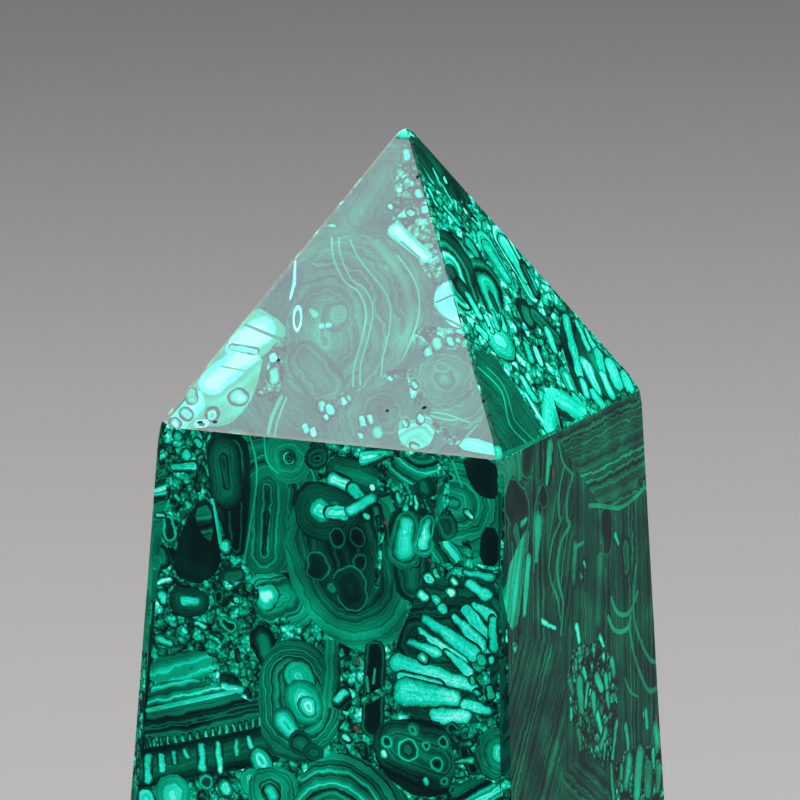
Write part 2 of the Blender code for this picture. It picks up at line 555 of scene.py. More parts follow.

# %% [markdown]
# ## The growths that the photograph shows
#
# The seen part of the stone is laid over the chance fragments. A row names a style, the pixels in
# the photograph where the growth's spine starts and ends, and the widths there in pixels. Some rows end
# with an outline of their own, for a fragment that broke off across its bands.

# %% The front of the shaft: the crumb column, the eye and the spearhead
SHAFT_FRONT = [
    # the cement of crumbs under everything
    ("crumb", (320, 430), (320, 820), 200, 200, ((-200, 300), (840, 300), (840, 815), (-200, 815))),
    # crumb column at the upper left and its pale clumps
    ("lobe", (164, 428), (164, 431), 4, 4),
    ("lobe", (177, 436), (178, 437), 6, 5),
    ("lobe", (196, 442), (199, 445), 5, 5),
    ("lobe", (186, 454), (187, 456), 6, 6),
    ("lobe", (175, 468), (194, 466), 5, 6),
    ("lobe", (197, 486), (198, 489), 4, 4),
    ("lobe", (174, 497), (177, 499), 4, 4),
    ("lobe", (186, 503), (188, 506), 4, 5),
    ("ring", (165, 520), (168, 535), 6, 8),
    ("deep", (160, 552), (163, 560), 8, 10),
    # upright fine bands that wrap the eye and the arch
    ("nest", (267, 492), (265, 552), 13, 13, ((236, 434), (318, 440), (318, 500), (296, 572), (236, 572))),
    ("fine", (289, 458), (289, 458), 26, 26),
    ("ink", (233, 452), (236, 545), 12, 7,
     ((203, 430), (247, 434), (251, 470), (247, 552), (233, 556), (212, 500))),
    ("deep", (224, 455), (227, 493), 18, 17),
    ("ink", (224, 458), (226, 486), 5, 4),
    ("lobe", (289, 458), (289, 458), 8, 8),
    ("ink", (289, 458), (289, 458), 5, 5),
    ("deep", (317, 457), (319, 456), 12, 12),
    ("ink", (318, 457), (319, 457), 5, 5),
    ("nest", (267, 489), (265, 552), 12, 12),
    ("ink", (268, 515), (265, 550), 3, 2.2),
    # the light fan and the bright sliver beside the spearhead
    ("lobe", (225, 544), (226, 546), 9, 8),
    ("sliver", (212, 500), (219, 540), 1.8, 3.0),
    # the black spearhead with its green wedge
    ("jet", (196, 545), (198, 560), 14, 14,
     ((211, 494), (189, 510), (175, 544), (174, 576), (197, 584), (210, 580), (222, 562), (218, 540))),
    ("stripe", (150, 520), (260, 500), 20, 20, ((193, 510), (211, 503), (213, 541), (200, 534))),
    # below the arch
    ("wide", (272, 600), (285, 596), 12, 10, ((246, 572), (296, 574), (318, 632), (282, 634), (252, 610))),
    ("lobe", (267, 596), (270, 594), 15, 13),
    ("deep", (229, 576), (238, 574), 11, 9),
    ("crumb", (212, 592), (250, 594), 13, 12),
    ("lobe", (237, 601), (238, 602), 5, 4),
    ("ink", (220, 595), (221, 599), 6, 6),
    ("deep", (183, 601), (200, 602), 15, 13),
    ("lobe", (185, 601), (198, 601), 6, 5),
    ("lobe", (162, 596), (163, 602), 7, 5),
    ("lobe", (160, 583), (171, 582), 4, 4),
]
print(len(SHAFT_FRONT), "growths on the front of the shaft")

# %% The front of the shaft: the black chunk and the lobes over it
SHAFT_FRONT += [
    # the large black chunk, with wide bands along its lower border
    ("bowl", (342, 540), (352, 575), 78, 74,
     ((318, 478), (290, 508), (286, 545), (290, 580), (304, 608), (322, 634), (362, 653), (382, 647),
      (401, 632), (408, 612), (406, 540), (384, 486), (350, 476))),
    ("deep", (320, 511), (336, 513), 29, 27),
    ("lobe", (320, 511), (325, 512), 12, 11),
    ("ink", (316, 562), (317, 568), 12, 14),
    ("ink", (336, 536), (337, 540), 9, 9),
    ("ink", (357, 537), (359, 540), 10, 9),
    ("ink", (360, 561), (361, 565), 9, 8),
    ("ink", (350, 586), (352, 594), 22, 19),
    ("deep", (330, 588), (331, 590), 9, 9),
    # the bright beaded lobes over its top
    ("deep", (340, 470), (378, 486), 14, 14),
    ("lobe", (362, 460), (392, 454), 9, 4, ((360, 448), (395, 450), (398, 455), (362, 472), (358, 466))),
    ("lobe", (334, 478), (346, 484), 8, 8),
    ("lobe", (352, 488), (361, 498), 7, 7),
    ("lobe", (330, 513), (344, 514), 8, 9),
    ("lobe", (352, 511), (372, 501), 8, 7),
    ("lobe", (366, 518), (368, 519), 5, 5),
    ("deep", (376, 512), (382, 536), 7, 7),
    ("ink", (379, 520), (381, 532), 3, 3),
    ("crumb", (384, 484), (402, 488), 9, 9),
    ("spark", (371, 488), (372, 490), 2.2, 2.2),
]
print(len(SHAFT_FRONT), "growths on the front of the shaft")

# %% The front of the shaft: fans and arcs at the upper right
SHAFT_FRONT += [
    # fans and small bright fingers right of them
    ("stripe", (423, 437), (423, 437), 16, 16,
     ((383, 478), (388, 466), (398, 456), (441, 455), (437, 474), (417, 484), (398, 484))),
    ("deep", (424, 484), (426, 490), 9, 9, ((435, 472), (440, 493), (424, 499), (406, 491), (416, 481))),
    ("deep", (412, 530), (412, 585), 24, 17),
    ("finger", (396, 494), (398, 502), 3, 4),
    ("finger", (406, 497), (404, 511), 3, 4),
    ("finger", (414, 496), (415, 508), 3, 4),
    ("finger", (424, 500), (430, 512), 3, 4),
    ("finger", (424, 494), (433, 505), 2.5, 3.5),
    ("ink", (416, 520), (415, 560), 4, 8),
    ("wide", (407, 524), (404, 554), 12, 16),
    ("dome", (407, 524), (405, 552), 9, 13),
    ("wide", (428, 524), (424, 546), 9, 11),
    ("lobe", (428, 522), (424, 544), 5, 7),
    ("crumb", (383, 530), (378, 586), 2.5, 2.5),
    # the arcs at the upper right
    ("wide", (453, 503), (455, 503), 16, 16,
     ((443, 456), (499, 461), (498, 566), (462, 562), (436, 546), (436, 500))),
    ("deep", (446, 524), (448, 530), 12, 12, ((447, 504), (461, 530), (451, 542), (431, 545), (436, 522))),
    ("stripe", (440, 520), (470, 560), 40, 40, ((434, 542), (456, 540), (466, 562), (432, 563))),
    ("jet", (484, 470), (486, 484), 12, 12,
     ((462, 456), (498, 460), (498, 480), (497, 498), (482, 497), (472, 488), (465, 470))),
    ("jet", (490, 540), (492, 556), 10, 10, ((480, 526), (498, 528), (499, 567), (478, 564))),
    ("ring", (451, 475), (452, 476), 6, 6),
    ("lobe", (466, 513), (470, 518), 4, 4),
    ("line", (453, 460), (462, 486), 1, 1),
    ("crumb", (447, 460), (446, 512), 3, 3),
    ("crumb", (466, 544), (474, 572), 4, 3),
]
print(len(SHAFT_FRONT), "growths on the front of the shaft")

# %% The front of the shaft: the left border and the block of level bands
BLOCK_LEFT, BLOCK_RISE = 146, 0.19  # the pixel where the block begins, and how steeply it rises from there


def drip(style, x, top, across, down, width, end_width):
    """A row for a small growth under the block. Its height is given as at the block's left end."""
    rise = BLOCK_RISE * (x - BLOCK_LEFT)
    return style, (x, top - rise), (x + across, top + down - rise), width, end_width


SHAFT_FRONT += [
    # the narrow fragment along the left border, behind a black seam
    ("deep", (158, 540), (142, 800), 60, 60, ((150, 436), (166, 436), (163, 520), (139, 815), (120, 815))),
    ("fine", (157, 560), (157, 566), 5, 5),
    ("stripe", (140, 480), (170, 470), 10, 10, ((150, 440), (166, 440), (164, 512), (148, 512))),
    ("lobe", (155, 516), (162, 516), 3, 3),
    ("silk", (151, 604), (150, 624), 4, 4),
    ("ring", (147, 650), (146, 664), 4, 4),
    ("silk", (136, 750), (134, 772), 5, 5),
    ("ink", (154, 604), (139, 806), 1.6, 1.8),
    # wavy light bands, a black slit and a bright crumb triangle at the left
    ("wide", (120, 690), (240, 655), 14, 14, ((151, 658), (204, 648), (214, 664), (206, 682), (150, 686))),
    ("lobe", (160, 640), (170, 644), 6, 5),
    ("lobe", (196, 622), (206, 626), 4, 4),
    ("ink", (237, 651), (238, 662), 3, 3),
    ("ring", (226, 622), (232, 626), 6, 7),
    ("deep", (262, 640), (270, 660), 14, 12),
    ("lobe", (222, 688), (240, 692), 6, 6, ((217, 676), (231, 671), (246, 690), (238, 700), (222, 693))),
    # the block of level bands, with drips below it
    ("stripe", (60, 745), (330, 690), 13, 13,
     ((148, 686), (167, 680), (202, 680), (218, 688), (236, 694), (256, 702), (268, 726), (146, 750))),
    ("sliver", (148, 710), (234, 693), 2.4, 2.0),
    ("ink", (140, 730), (266, 706), 4, 5),
    *(drip("finger", x, 741, 1, 6, 2.6, 3.2) for x in range(148, 266, 7)),
    *(drip("lobe", x, 752, 2, 0, 2.0, 2.2) for x in range(146, 270, 5)),
    ("deep", (140, 768), (270, 745), 18, 18),
    ("finger", (149, 756), (149, 778), 6, 6),
    ("finger", (163, 756), (164, 768), 5, 5),
    ("finger", (175, 752), (176, 762), 4, 4),
    ("finger", (186, 749), (188, 756), 4, 4),
    ("finger", (201, 746), (202, 768), 5, 6),
    ("finger", (218, 744), (220, 772), 5, 5),
    ("finger", (236, 740), (237, 754), 3, 4),
    ("finger", (250, 738), (252, 748), 4, 4),
    ("lobe", (262, 758), (264, 764), 12, 12),
    ("dome", (253, 782), (254, 786), 14, 13),
    ("dome", (173, 792), (174, 798), 18, 17),
    ("lobe", (224, 789), (225, 792), 9, 8),
    ("ring", (205, 782), (205, 783), 8, 8),
    ("lobe", (147, 796), (149, 802), 10, 10),
]
print(len(SHAFT_FRONT), "growths on the front of the shaft")

# %% The front of the shaft: the chunk of nested bands
SHAFT_FRONT += [
    # the chunk of nested bands round two bright domes
    ("nest", (302, 706), (294, 682), 18, 14,
     ((268, 646), (306, 634), (334, 640), (344, 700), (334, 748), (292, 764), (264, 748), (258, 690))),
    ("dome", (298, 676), (300, 680), 17, 17),
    ("dome", (303, 700), (306, 706), 21, 20),
    ("dome", (308, 706), (309, 708), 11, 10),
    ("dome", (285, 722), (290, 730), 13, 11),
    ("deep", (300, 743), (302, 745), 13, 12),
    ("deep", (312, 752), (314, 752), 10, 9),
    ("crumb", (282, 624), (316, 640), 7, 6),
    ("wide", (272, 790), (272, 794), 12, 12, ((250, 770), (290, 764), (306, 800), (300, 818), (250, 818))),
    ("lobe", (272, 792), (274, 796), 9, 9),
    # upright wavy bands, the bright chip and the crack
    ("stripe", (330, 600), (328, 760), 9, 9, ((322, 636), (340, 642), (341, 700), (322, 712))),
    ("crumb", (354, 655), (352, 716), 8, 9),
    ("crumb", (392, 662), (388, 718), 8, 9),
    ("ink", (374, 650), (373, 726), 11, 12),
    ("crumb", (364, 700), (384, 690), 4, 4),
    ("line", (366, 676), (368, 690), 1.4, 1.4),
    ("line", (374, 668), (373, 682), 1.2, 1.4),
    ("lobe", (338, 698), (344, 692), 6, 6, ((331, 699), (341, 682), (352, 690), (351, 712), (336, 708))),
]
print(len(SHAFT_FRONT), "growths on the front of the shaft")

# %% The front of the shaft: the spray of bright fingers
SHAFT_FRONT += [
    # the spray of bright fingers
    ("dusk", (420, 640), (470, 640), 60, 60,
     ((408, 612), (432, 560), (468, 566), (499, 570), (500, 722), (456, 726), (404, 716), (390, 680),
      (396, 640))),
    ("crumb", (480, 656), (484, 716), 10, 8),
    ("crumb", (472, 572), (440, 570), 7, 7),
    ("lobe", (428, 577), (430, 580), 6.9, 6.9),
    ("lobe", (421, 594), (424, 597), 6.9, 6.9),
    ("lobe", (454, 580), (456, 582), 5.8, 5.8),
    ("lobe", (450, 591), (453, 593), 5.8, 5.8),
    ("lobe", (435, 598), (437, 600), 5.8, 5.8),
    ("lobe", (442, 607), (444, 609), 5.8, 5.8),
    ("finger", (470, 584), (486, 596), 6.5, 7.8),
    ("finger", (474, 606), (490, 616), 5.2, 7.8),
    ("finger", (466, 572), (490, 578), 3.9, 6.5),
    ("finger", (466, 610), (487, 641), 6.5, 11.7),
    ("finger", (492, 619), (494, 646), 5.2, 6.5),
    ("finger", (454, 618), (480, 643), 5.2, 9.1),
    ("finger", (424, 617), (473, 652), 5.2, 10.4),
    ("finger", (420, 628), (462, 662), 3.9, 7.8),
    ("finger", (410, 640), (436, 652), 5.2, 7.8),
    ("ink", (421, 637), (424, 638), 4, 4),
    ("finger", (446, 651), (469, 672), 3.9, 7.8),
    ("finger", (398, 662), (474, 686), 10.4, 7.8),
    ("lobe", (423, 657), (426, 659), 6.9, 6.9),
    ("finger", (402, 676), (440, 686), 6.5, 7.8),
    ("finger", (407, 692), (454, 697), 15.6, 10.4),
    ("finger", (436, 715), (464, 716), 9.1, 9.1),
    ("finger", (466, 704), (488, 712), 6.5, 6.5),
    ("lobe", (473, 679), (474, 681), 4.6, 4.6),
    ("lobe", (482, 657), (483, 660), 5.8, 5.8),
    ("lobe", (492, 657), (493, 660), 4.6, 4.6),
    ("lobe", (478, 692), (480, 694), 4.6, 4.6),
    ("lobe", (491, 688), (492, 696), 4.6, 5.8),
]
print(len(SHAFT_FRONT), "growths on the front of the shaft")

# %% The front of the shaft: rings, teeth, arcs and rust
SHAFT_FRONT += [
    # rings and teeth below it
    ("deep", (400, 745), (440, 760), 30, 32,
     ((372, 728), (398, 716), (452, 722), (456, 790), (420, 800), (376, 770))),
    ("ring", (407, 748), (407, 749), 12, 12),
    ("ink", (407, 748), (407, 749), 6, 6),
    ("ring", (412, 728), (413, 729), 6, 6),
    ("ring", (387, 741), (387, 742), 7, 7),
    ("ring", (443, 741), (443, 742), 7, 7),
    ("ring", (436, 762), (436, 764), 9, 8),
    ("ring", (443, 780), (443, 781), 6, 6),
    ("ring", (425, 743), (425, 744), 5, 5),
    ("ink", (452, 728), (474, 768), 7, 7),
    ("finger", (452, 734), (466, 730), 3, 4),
    ("finger", (454, 746), (470, 744), 3, 5),
    ("finger", (456, 760), (472, 760), 3, 5),
    ("wide", (502, 754), (502, 756), 12, 12, ((482, 732), (504, 728), (504, 784), (484, 778), (474, 756))),
    ("dome", (500, 752), (501, 757), 16, 16),
    ("stripe", (440, 820), (520, 780), 8, 8, ((458, 776), (502, 782), (504, 816), (444, 816))),
    # the arcs at the bottom
    ("stripe", (332, 829), (332, 829), 11, 11,
     ((300, 775), (318, 758), (346, 752), (378, 768), (412, 800), (418, 818), (290, 818))),
    ("lobe", (346, 738), (349, 741), 5, 5),
    ("lobe", (383, 752), (384, 755), 5, 5),
    ("lobe", (424, 780), (425, 782), 5, 5),
    # rust in the cracks
    ("rust", (386, 525), (388, 526), 1.6, 1.2),
    ("rust", (430, 559), (431, 560), 1.2, 1.2),
    ("rust", (357, 658), (358, 662), 1.2, 1.6),
    ("rust", (356, 727), (358, 732), 2.0, 1.6),
    ("rust", (502, 676), (503, 679), 1.0, 1.0),
]
print(len(SHAFT_FRONT), "growths on the front of the shaft")

# %% The front of the roof
ROOF_FRONT = [
    ("haze", (340, 330), (342, 350), 60, 60, ((-100, 20), (800, 20), (800, 600), (-100, 600))),
    # the grey rounded growth near the tip, and crumbs along the right edge
    ("haze", (384, 172), (360, 214), 19, 23),
    ("crumb", (405, 160), (430, 240), 12, 12,
     ((398, 140), (414, 146), (434, 232), (448, 305), (418, 262), (390, 222), (394, 190))),
    ("lobe", (405, 152), (406, 158), 5, 5),
    ("lobe", (417, 191), (418, 194), 6, 6),
    ("lobe", (424, 208), (425, 211), 5, 5),
    ("lobe", (391, 206), (392, 208), 4, 4),
    ("lobe", (410, 212), (412, 214), 5, 5),
    ("pale", (396, 231), (426, 257), 8, 6),
    ("trace", (402, 242), (420, 258), 0.8, 0.8),
    ("lobe", (322, 226), (336, 226), 4, 3),
    # the large growth of wavy upright lines
    ("veiled", (322, 316), (324, 344), 26, 30,
     ((334, 236), (374, 234), (406, 248), (425, 288), (425, 318), (406, 366), (396, 386), (300, 398),
      (284, 380), (282, 330), (300, 280))),
    ("haze", (336, 316), (336, 318), 17, 17),
    ("fine", (338, 315), (338, 316), 9, 9),
    ("sliver", (310, 311), (315, 316), 2.0, 3.0),
    ("sliver", (321, 327), (322, 327), 2.4, 2.6),
    ("sliver", (328, 326), (330, 326), 2.6, 2.2),
    ("haze", (305, 360), (325, 385), 20, 22),
    # the pale bright region at the left
    ("pale", (262, 330), (240, 345), 16, 16,
     ((252, 304), (285, 322), (285, 338), (262, 356), (228, 380), (200, 372), (222, 336))),
    ("pale", (250, 350), (215, 380), 16, 16,
     ((222, 352), (263, 350), (257, 392), (240, 418), (226, 427), (204, 428), (188, 408), (196, 380))),
    ("pale", (196, 400), (178, 422), 14, 12, ((160, 430), (196, 388), (206, 392), (204, 430))),
    ("lobe", (192, 392), (193, 398), 7, 7),
    ("lobe", (185, 412), (187, 415), 7, 7),
    ("lobe", (174, 422), (176, 424), 6, 6),
    ("lobe", (238, 396), (242, 398), 10, 9),
    ("ring", (212, 414), (212, 415), 9, 9),
    ("lobe", (212, 413), (212, 415), 8, 8),
    ("trace", (246, 324), (283, 340), 1.4, 1.8),
    ("dome", (232, 346), (254, 351), 4, 5),
    ("line", (222, 366), (250, 372), 1.0, 1.0),
    ("spark", (297, 311), (297, 327), 5, 5,
     ((297, 304), (301, 308), (302, 318), (301, 327), (297, 333), (293, 327), (292, 318), (293, 308))),
    ("haze", (297, 313), (297, 325), 3, 3,
     ((297, 309), (299, 312), (300, 319), (299, 325), (297, 329), (295, 325), (294, 319), (295, 312))),
    ("spark", (295, 262), (293, 284), 1.0, 1.9),
    ("spark", (293, 284), (289, 299), 1.9, 1.0),
    ("crumb", (278, 350), (272, 394), 9, 9),
    ("lobe", (272, 356), (273, 360), 6, 6),
    ("lobe", (273, 374), (274, 380), 7, 7),
    ("lobe", (260, 393), (262, 394), 4, 4),
    ("spark", (197, 424), (204, 424), 4.5, 4.5),
    ("ink", (199, 425), (202, 425), 2, 2),
]
print(len(ROOF_FRONT), "growths on the front of the roof")

# %% The front of the roof: its right edge and shoulder
ROOF_FRONT += [
    # right edge: a broken round growth and crumbs
    ("pale", (450, 297), (458, 313), 18, 14),
    ("trace", (436, 302), (458, 292), 1.0, 1.0),
    ("trace", (434, 312), (462, 326), 1.2, 1.2),
    ("crumb", (424, 336), (456, 338), 11, 11),
    ("lobe", (436, 340), (437, 346), 6, 6),
    ("lobe", (448, 338), (449, 342), 5, 5),
    ("lobe", (428, 352), (430, 356), 6, 6),
    ("veiled", (444, 378), (446, 380), 24, 24,
     ((412, 366), (440, 350), (470, 356), (490, 430), (452, 430), (420, 396))),
    ("fine", (441, 368), (444, 369), 7, 6),
    ("crumb", (388, 376), (412, 374), 5, 5),
    ("crumb", (412, 374), (418, 402), 5, 5),
    ("lobe", (414, 384), (416, 388), 4, 4),
    ("lobe", (390, 377), (392, 379), 3, 3),
    # the flower-like clumps and the shell along the shoulder
    ("haze", (380, 410), (384, 420), 40, 40,
     ((330, 402), (390, 382), (418, 402), (440, 428), (446, 448), (300, 440))),
    ("crumb", (344, 396), (346, 402), 6, 6),
    ("lobe", (343, 397), (345, 401), 4, 4),
    ("lobe", (321, 404), (323, 408), 6, 6),
    ("lobe", (329, 407), (331, 411), 6, 6),
    ("lobe", (326, 416), (327, 418), 4, 4),
    ("lobe", (305, 426), (307, 430), 5, 5),
    ("lobe", (313, 430), (314, 433), 5, 5),
    ("lobe", (363, 419), (364, 424), 5, 5),
    ("lobe", (370, 417), (371, 422), 5, 5),
    ("lobe", (360, 434), (361, 437), 4, 4),
    ("wide", (378, 431), (379, 434), 5, 5),
    ("dome", (416, 449), (416, 449), 44, 44,
     ((401, 420), (409, 412), (425, 411), (434, 419), (437, 433), (429, 447), (405, 447), (399, 434))),
    ("haze", (412, 411), (414, 414), 6, 6),
    ("lobe", (406, 421), (408, 424), 4, 4),
    ("lobe", (421, 415), (422, 420), 4, 5),
    ("lobe", (414, 444), (418, 446), 4, 4),
    ("crumb", (436, 424), (456, 442), 3, 5),
    ("dome", (466, 446), (500, 452), 20, 20,
     ((458, 448), (464, 439), (470, 438), (500, 447), (500, 456), (480, 454))),
    ("pale", (165, 423), (166, 428), 4, 4),
    ("ink", (449, 448), (456, 449), 4, 4),
    ("dome", (236, 440), (238, 442), 13, 13),
]
print(len(ROOF_FRONT), "growths on the front of the roof")

# %% The right of the roof
ROOF_RIGHT = [
    ("grit", (500, 300), (560, 380), 100, 100, ((200, 20), (900, 20), (900, 600), (200, 600))),
    ("dusk", (420, 160), (440, 190), 14, 14,
     ((408, 134), (424, 142), (478, 206), (462, 204), (430, 186), (414, 160))),
    ("finger", (424, 168), (432, 182), 3, 4),
    ("finger", (432, 168), (440, 184), 3, 4),
    ("finger", (440, 182), (452, 202), 3, 4),
    ("lobe", (444, 178), (446, 182), 5, 5),
    ("finger", (428, 188), (436, 204), 4, 4),
    ("finger", (460, 200), (470, 214), 4, 4),
    ("ink", (464, 205), (476, 220), 3, 3),
    ("finger", (444, 206), (460, 226), 4, 5),
    # stacked bright arcs
    ("arcs", (452, 268), (460, 292), 20, 18,
     ((436, 230), (448, 230), (464, 244), (476, 272), (480, 306), (464, 312), (456, 300))),
    ("deep", (453, 272), (460, 290), 9, 7),
    ("arcs", (488, 288), (496, 312), 18, 14,
     ((472, 252), (484, 258), (500, 280), (505, 304), (496, 320), (482, 308), (474, 284))),
    ("deep", (491, 296), (496, 308), 6, 6),
    ("arcs", (470, 244), (476, 252), 9, 8),
    ("arcs", (486, 244), (506, 276), 16, 12),
    ("finger", (488, 248), (507, 278), 11, 8),
    ("arcs", (503, 240), (532, 292), 18, 14),
    ("finger", (505, 244), (524, 278), 12, 9),
    ("deep", (524, 268), (536, 292), 9, 9),
    ("finger", (528, 272), (537, 290), 4, 4),
    ("deep", (462, 288), (470, 300), 12, 10),
    ("finger", (468, 296), (478, 314), 6, 7),
    # the bright round growth with its fringe
    ("lobe", (496, 338), (502, 342), 24, 22),
    ("finger", (476, 326), (484, 334), 6, 7),
    ("finger", (484, 316), (490, 328), 5, 6),
    ("finger", (492, 312), (496, 326), 4, 6),
    ("finger", (502, 316), (504, 328), 4, 6),
    ("deep", (526, 312), (528, 318), 16, 14),
    ("wide", (527, 314), (528, 318), 9, 8),
    ("deep", (536, 316), (556, 338), 12, 12),
    # the dark fragment with two curved lines
    ("haze", (440, 440), (480, 470), 40, 40,
     ((470, 345), (484, 350), (500, 362), (520, 392), (548, 434), (500, 462), (494, 440))),
    ("pale", (528, 396), (552, 438), 4, 4),
    ("finger", (524, 380), (534, 398), 7, 8),
    # long bright grains at the lower right
    ("deep", (590, 350), (606, 380), 34, 34,
     ((562, 312), (590, 336), (634, 384), (620, 396), (600, 404), (576, 392), (560, 340))),
    ("finger", (566, 318), (580, 374), 8, 9),
    ("finger", (576, 322), (588, 346), 5, 7),
    ("finger", (586, 330), (594, 346), 5, 6),
    ("finger", (599, 354), (602, 366), 9, 9),
    ("finger", (586, 364), (598, 390), 12, 10),
    ("finger", (612, 366), (618, 382), 12, 12),
    ("finger", (626, 378), (629, 386), 11, 10),
    ("finger", (604, 376), (612, 394), 8, 10),
    ("finger", (594, 394), (602, 404), 9, 9),
    ("lobe", (566, 376), (571, 388), 12, 12),
    ("lobe", (583, 382), (586, 392), 9, 9),
    ("finger", (574, 396), (582, 406), 7, 7),
    ("finger", (548, 332), (554, 348), 8, 8),
    ("finger", (536, 350), (541, 362), 7, 7),
    ("finger", (526, 346), (530, 358), 8, 8),
    # the chevron above the shoulder
    ("finger", (552, 392), (547, 436), 14, 16,
     ((546, 390), (556, 388), (558, 400), (557, 430), (546, 436), (540, 404))),
    ("finger", (556, 396), (586, 416), 16, 16,
     ((552, 388), (566, 394), (592, 410), (566, 426), (557, 410))),
    ("ink", (555, 402), (563, 428), 1, 4),
    ("trace", (500, 456), (528, 445), 2.5, 2),
    ("trace", (528, 445), (556, 431), 2, 1.2),
    ("pale", (499, 449), (500, 455), 4, 4),
]
print(len(ROOF_RIGHT), "growths on the right of the roof")

# %% The right of the shaft
SHAFT_RIGHT = [
    ("dusk", (570, 400), (575, 800), 60, 60, ((200, 200), (1000, 200), (1000, 820), (200, 820))),
    # level wavy bands with pleats, at the top
    ("pleats", (470, 438), (720, 320), 12, 12,
     ((548, 424), (650, 382), (656, 490), (620, 504), (590, 508), (574, 478), (560, 442))),
    # rounds at the upper left
    ("fine", (500, 470), (504, 478), 20, 20, ((498, 452), (524, 442), (526, 482), (498, 498))),
    ("ink", (529, 452), (528, 466), 18, 16),
    ("ink", (512, 500), (520, 512), 22, 26),
    ("deep", (516, 530), (518, 540), 14, 12),
    ("ink", (541, 440), (540, 476), 8, 8),
    ("silk", (550, 446), (546, 486), 10, 6, ((545, 442), (555, 436), (553, 470), (549, 490), (543, 480))),
    ("ink", (542, 494), (544, 500), 12, 10),
    ("rust", (553, 468), (553, 474), 2, 2),
    # light fans
    ("silk", (538, 520), (536, 570), 14, 6,
     ((536, 505), (544, 520), (543, 545), (537, 566), (532, 560), (532, 530))),
    ("silk", (518, 540), (506, 640), 30, 26,
     ((524, 530), (531, 530), (531, 570), (523, 618), (508, 632), (504, 580))),
    ("silk", (500, 578), (501, 626), 8, 8),
    ("silk", (528, 560), (524, 612), 8, 6),
    ("silk", (522, 524), (526, 518), 6, 5),
    # dark bands between the two light lines
    ("dusk", (640, 480), (610, 700), 20, 20,
     ((558, 470), (576, 480), (574, 560), (576, 640), (562, 640), (544, 560))),
    ("deep", (600, 560), (598, 620), 14, 14),
    ("deep", (576, 548), (574, 580), 12, 10),
    ("ink", (606, 520), (607, 545), 18, 14),
    ("lobe", (584, 562), (585, 566), 5, 5),
    ("lobe", (581, 574), (582, 578), 5, 5),
    ("lobe", (584, 586), (584, 590), 4, 4),
    ("silk", (615, 536), (618, 543), 6, 5),
    ("crumb", (640, 486), (652, 476), 8, 8),
    ("deep", (626, 548), (627, 566), 14, 12),
    ("lobe", (543, 623), (555, 630), 5, 4),
    ("crumb", (520, 632), (514, 648), 5, 5),
    ("lobe", (577, 628), (579, 640), 7, 6),
    ("lobe", (600, 636), (604, 646), 6, 5),
    # fine slanting bands at the lower left
    ("dusk", (590, 610), (540, 810), 14, 14,
     ((509, 640), (548, 640), (566, 660), (564, 760), (556, 815), (508, 815))),
    # the column of long bright grains
    ("shreds", (590, 690), (592, 720), 50, 50,
     ((566, 650), (600, 640), (618, 664), (618, 748), (604, 764), (574, 742))),
    ("shreds", (618, 780), (630, 800), 40, 40, ((612, 752), (664, 742), (668, 815), (610, 815))),
    ("dusk", (560, 790), (600, 830), 30, 30, ((566, 764), (602, 760), (612, 790), (610, 815), (560, 815))),
    *(("silk", start, end, width, 0.9 * width) for start, end, width in (
        ((576, 660), (576, 668), 5), ((583, 670), (587, 680), 7), ((612, 662), (614, 674), 8),
        ((570, 681), (573, 692), 7), ((579, 682), (582, 710), 10), ((588, 684), (586, 705), 7),
        ((597, 676), (602, 688), 8), ((606, 677), (608, 692), 6), ((594, 694), (595, 712), 7),
        ((608, 696), (609, 707), 7), ((571, 709), (571, 719), 5), ((598, 716), (602, 732), 8),
        ((581, 718), (581, 725), 5), ((579, 730), (581, 748), 6), ((606, 732), (601, 745), 8),
        ((605, 746), (604, 757), 6), ((644, 713), (645, 724), 5), ((629, 759), (626, 783), 11),
        ((640, 755), (637, 794), 13), ((653, 751), (654, 764), 7), ((648, 768), (648, 791), 11),
        ((659, 768), (658, 788), 8), ((621, 767), (621, 777), 7),
    )),
    ("silk", (656, 726), (658, 744), 10, 10),
    ("silk", (626, 726), (628, 746), 6, 6),
    ("silk", (646, 712), (647, 726), 6, 6),
    ("silk", (617, 724), (612, 760), 6, 6),
    ("silk", (611, 765), (613, 800), 6, 6),
    ("rust", (656, 714), (657, 718), 2, 2),
]
print(len(SHAFT_RIGHT), "growths on the right of the shaft")

